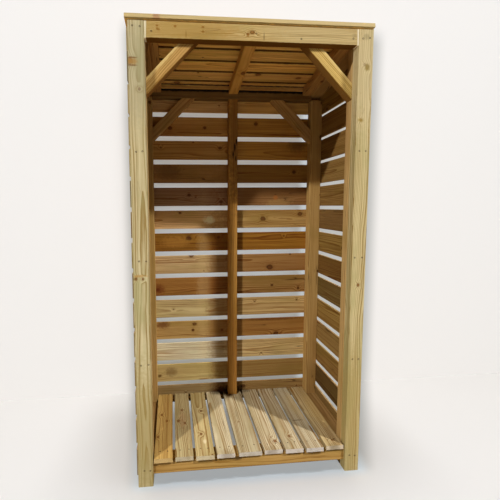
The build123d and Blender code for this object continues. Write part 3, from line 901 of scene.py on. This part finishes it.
class LOGSTORE_OT_nails(bpy.types.Operator):
    """Sets the nails of the slats, the floor and the roof"""

    bl_idname = "log_store.nails"
    bl_label = "Nails"

    def execute(self, context):
        head = context.scene.log_store_fixings.nail_head
        chance = random.Random(31)

        def near(value, spread=0.004):
            return value + chance.uniform(-spread, spread)

        def middle(node, axis):
            low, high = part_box(node)
            return (low[axis] + high[axis]) / 2

        slats, lowest, pitch, apart = 14, 0.1125, 0.1188, 0.026
        back = []
        for node in ("rear_upright_left", "centre_rear_post", "rear_upright_right"):
            for level in range(slats):
                for offset in (-apart, apart):
                    height = near(lowest + pitch * level + offset)
                    back.append(touch("back_slats", (near(middle(node, 0)), 1, height), -BACKWARD))
        set_fixings("back_nails", back, head)

        # Between the ends the levels rise a little above an even pitch
        slats, lowest, pitch, apart, rise = 13, 0.2115, 0.12029, 0.028, 0.032
        heights = []
        for level in range(slats):
            bow = rise * (level / slats) * (1 - level / slats)
            heights += [lowest + pitch * level + bow + offset for offset in (-apart, apart)]
        skirt = [0.045, 0.105]
        sides = []
        for side, sign in SIDES:
            for node in (f"front_upright_{side}", f"rear_upright_{side}"):
                for height in heights + skirt:
                    start = (sign, near(middle(node, 1)), near(height))
                    sides.append(touch(f"side_slats_{side}", start, -sign * RIGHTWARD))
        set_fixings("side_nails", sides, head)

        deck = []
        for number in range(1, 10):
            node = f"floor_board_{number}"
            low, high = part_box(node)
            for bearer in ("front_bearer", "rear_bearer"):
                for share in (0.27, 0.73):
                    across = near(low.x + (high.x - low.x) * share)
                    deck.append(touch(node, (across, near(middle(bearer, 1), 0.002), 1), -UP))
        set_fixings("floor_nails", deck, head)

        roof = []
        for number in range(1, 7):
            node = f"roof_board_{number}"
            for rafter in ("rafter_left", "rafter_centre", "rafter_right"):
                for offset in (-0.011, 0.011):
                    start = (near(middle(rafter, 0) + offset, 0.002), near(middle(node, 1)), 3)
                    roof.append(touch(node, start, -UP))
        set_fixings("roof_nails", roof, head)
        return {"FINISHED"}


class LOGSTORE_OT_studio(bpy.types.Operator):
    """Makes the pale floor and wall, the lamps and the camera"""

    bl_idname = "log_store.studio"
    bl_label = "Studio"

    def execute(self, context):
        scene = context.scene
        studio = scene.log_store_studio
        backdrop(studio)
        flags()
        surround(scene, studio)
        lamps(scene, studio)
        camera(scene)
        scene.view_settings.view_transform = "Standard"
        return {"FINISHED"}


def add_sheet(name, corners):
    """A flat four-cornered sheet of the studio, from its near edge's two ends and its far edge's."""
    mesh = bpy.data.meshes.new(name)
    mesh.from_pydata(corners, [], [(0, 1, 3, 2)])
    made = new_object(name, mesh)
    return made


def span(half_width, *edges):
    """The ends of edges that run from side to side, each given by its place back and up."""
    return [(side, *edge) for edge in edges for side in (-half_width, half_width)]


def backdrop_finish(studio):
    """Pale paint with a soft shaded patch behind the store. Only the camera sees it so pale.

    Light meets plain dull paint instead, and the sheet is clear from behind.
    """
    material, make = new_material("studio_pale")
    across, back, up = make.parts(make.node("TexCoord").outputs["Object"])
    shaded = make.rise(across + back * 0.127, -0.56, -0.47) * make.rise(across - back * 0.65, 0.71, 0.60)
    shaded = shaded * make.rise(back, -0.275, -0.215) * make.rise(up, 2.2, 2.06)
    pale_colour = tuple(0.66 * part for part in studio.backdrop[:2]) + (0.60, 1)
    beside = make.rise(make.math("ABSOLUTE", across), 0.47, 0.55)
    dim_colour = make.mix((0.50, 0.60, 0.70, 1), (0.27, 0.28, 0.28, 1), beside)
    lit = make.node("BsdfDiffuse", None, {"Color": make.mix(pale_colour, dim_colour, shaded)})
    bright, dimmed = (tuple(share * part for part in studio.backdrop[:3]) + (1,) for share in (0.27, 0.24))
    glow = make.node("Emission", None, {"Color": make.mix(bright, dimmed, shaded)})
    pale = make.node("AddShader", None, {0: lit, 1: glow})
    dull = make.node("BsdfDiffuse", None, {"Color": (0.42, 0.36, 0.27, 1)})
    seen = make.node("LightPath").outputs["Is Camera Ray"]
    front = make.node("MixShader", None, {0: seen, 1: dull, 2: pale})
    behind = make.node("NewGeometry").outputs["Backfacing"]
    clear = make.node("BsdfTransparent")
    sided = make.node("MixShader", None, {0: behind, 1: front, 2: clear})
    make.node("OutputMaterial", None, {0: sided})
    return material


def backdrop(studio):
    """The floor and the wall."""
    material = backdrop_finish(studio)
    reach, wall = 9.0, 0.42
    for name, near, far in (("floor", (-reach, 0), (reach, 0)), ("wall", (wall, 0), (wall, reach))):
        add_sheet(f"studio_{name}", span(reach, near, far)).data.materials.append(material)


def flags():
    """Sheets inside the slats, seen by the lamps alone, that keep thin blades of light out of the gaps."""
    rear, front, foot, face = 0.214, -0.15, 0.02, 0.4695
    sheets = []
    for side, sign in SIDES:
        corners = ((rear, foot), (front, foot), (rear, 1.7), (front, 1.76))
        sheets.append(add_sheet(f"studio_flag_{side}", [(sign * face, *corner) for corner in corners]))
    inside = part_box("back_slats")[1].y - 0.0045
    sheets.append(add_sheet("studio_flag_rear", span(0.46, (inside, 0.06), (inside, 1.7))))
    for sheet in sheets:
        sheet.visible_camera = False
        sheet.visible_diffuse = False
        sheet.visible_glossy = False
        sheet.visible_transmission = False


def surround(scene, studio):
    """A faint warm light from all round, behind which the camera sees the colour of the backdrop."""
    scene.world = bpy.data.worlds.new("studio")
    scene.world.use_nodes = True
    make = Finish(scene.world.node_tree)
    seen = make.node("LightPath").outputs["Is Camera Ray"]
    light = make.node("Background", None, {0: (1.0, 0.86, 0.62, 1), 1: studio.sky_level})
    pale = make.node("Background", None, {0: studio.backdrop, 1: 1.0})
    both = make.node("MixShader", None, {0: seen, 1: light, 2: pale})
    make.node("OutputWorld", None, {0: both})


def lamps(scene, studio):
    """Two lamps on the front frame, two on the inside, one behind and two on the backdrop alone."""
    front_names = ("front_post", "front_top", "front_brace", "rail_packer", "front_screws")
    names = ("front", "inside", "backdrop", "front_blockers", "rear_blockers")
    groups = {name: bpy.data.collections.new(f"lamp_{name}") for name in names}
    for made in scene.objects:
        if made.type == "MESH":
            kind = "backdrop" if made.name.startswith("studio_") else "inside"
            if made.name.startswith(front_names):
                kind = "front"
            groups[kind].objects.link(made)
            if made.name != "studio_flag_rear":
                groups["front_blockers"].objects.link(made)
            if not made.name.startswith("studio_wall"):
                groups["rear_blockers"].objects.link(made)
    side_level, stage_level = studio.side_level, studio.stage_level
    warm, white = (1.0, 0.96, 0.88), (1.0, 1.0, 1.0)
    away = 8.0
    for name, travel, distance, size, level, tone, group in (
        ("lamp_left", (1.05, 1.0, -1.36), away, 0.25, side_level, warm, "inside"),
        ("lamp_right", (-1.17, 1.0, -1.73), away, 0.25, side_level * 1.3, warm, "inside"),
        ("lamp_front_left", (1.05, 1.0, -0.45), away, 1.2, side_level * 0.65, warm, "front"),
        ("lamp_front_right", (-1.17, 1.0, -0.45), away, 1.2, side_level * 0.65, warm, "front"),
        ("lamp_rear", (0.35, -1.0, -0.8), away, 2.0, side_level * 0.5, warm, "inside"),
        ("lamp_stage", (0.0, 1.0, -0.2), 12.0, 6.0, stage_level, white, "backdrop"),
        ("lamp_above", (0.0, 0.0, -1.0), 7.0, 2.0, stage_level * 1.16, white, "backdrop"),
    ):
        travel = Vector(travel).normalized()
        data = bpy.data.lights.new(name, "AREA")
        data.shape = "DISK"
        data.size = size
        # The power at which a white face that looks at the lamp renders at about its level
        data.energy = math.pi**2 * distance**2 * level
        data.color = tone
        lamp = new_object(name, data)
        lamp.location = STORE_MIDDLE - travel * distance
        lamp.rotation_euler = travel.to_track_quat("-Z", "Y").to_euler()
        blockers = "rear_blockers" if name == "lamp_rear" else "front_blockers"
        lamp.light_linking.receiver_collection = groups[group]
        lamp.light_linking.blocker_collection = groups[blockers]


def camera(scene):
    """A camera a little left of the middle, at chest height, turned slightly right and down."""
    yaw, pitch, roll = math.radians(4.757), math.radians(-4.771), math.radians(-0.432)
    forward = Vector((math.sin(yaw) * math.cos(pitch), math.cos(yaw) * math.cos(pitch), math.sin(pitch)))
    right = Vector((math.cos(yaw), -math.sin(yaw), 0))
    up = right.cross(forward)
    turned = math.cos(roll) * right + math.sin(roll) * up
    up = -math.sin(roll) * right + math.cos(roll) * up
    data = bpy.data.cameras.new("view")
    data.sensor_width = 36.0
    data.lens = 22.58784
    data.shift_x = 0.10272
    data.shift_y = -0.03568
    data.clip_start = 0.05
    scene.camera = new_object("view", data)
    place = Matrix((turned, up, -forward)).transposed().to_4x4()
    place.translation = Vector((-0.3129, -1.4265, 1.1336))
    scene.camera.matrix_world = place


class LOGSTORE_PT_sidebar(bpy.types.Panel):
    """Lists the settings and the steps of the finish"""

    bl_idname = "LOGSTORE_PT_sidebar"
    bl_label = "Log Store"
    bl_space_type = "VIEW_3D"
    bl_region_type = "UI"
    bl_category = "Log Store"

    def draw(self, context):
        for group in SETTINGS:
            settings = getattr(context.scene, group)
            box = self.layout.box()
            for name in type(settings).__annotations__:
                box.prop(settings, name)
        for step in STEPS:
            self.layout.operator(step.bl_idname)


STEPS = (
    LOGSTORE_OT_grain,
    LOGSTORE_OT_front_frame,
    LOGSTORE_OT_inner_frame,
    LOGSTORE_OT_roof,
    LOGSTORE_OT_floor,
    LOGSTORE_OT_back_slats,
    LOGSTORE_OT_side_slats,
    LOGSTORE_OT_screws,
    LOGSTORE_OT_nails,
    LOGSTORE_OT_studio,
)
SETTINGS = {
    "log_store_timber": TimberSettings,
    "log_store_fixings": FixingSettings,
    "log_store_studio": StudioSettings,
}
CLASSES = (*SETTINGS.values(), *STEPS, LOGSTORE_PT_sidebar)


def register():
    for cls in CLASSES:
        bpy.utils.register_class(cls)
    for name, settings in SETTINGS.items():
        setattr(bpy.types.Scene, name, PointerProperty(type=settings))


def unregister():
    for name in SETTINGS:
        delattr(bpy.types.Scene, name)
    for cls in reversed(CLASSES):
        bpy.utils.unregister_class(cls)


def main():
    register()
    for step in STEPS:
        getattr(bpy.ops.log_store, step.bl_idname.partition(".")[2])()


if __name__ == "__main__":
    main()
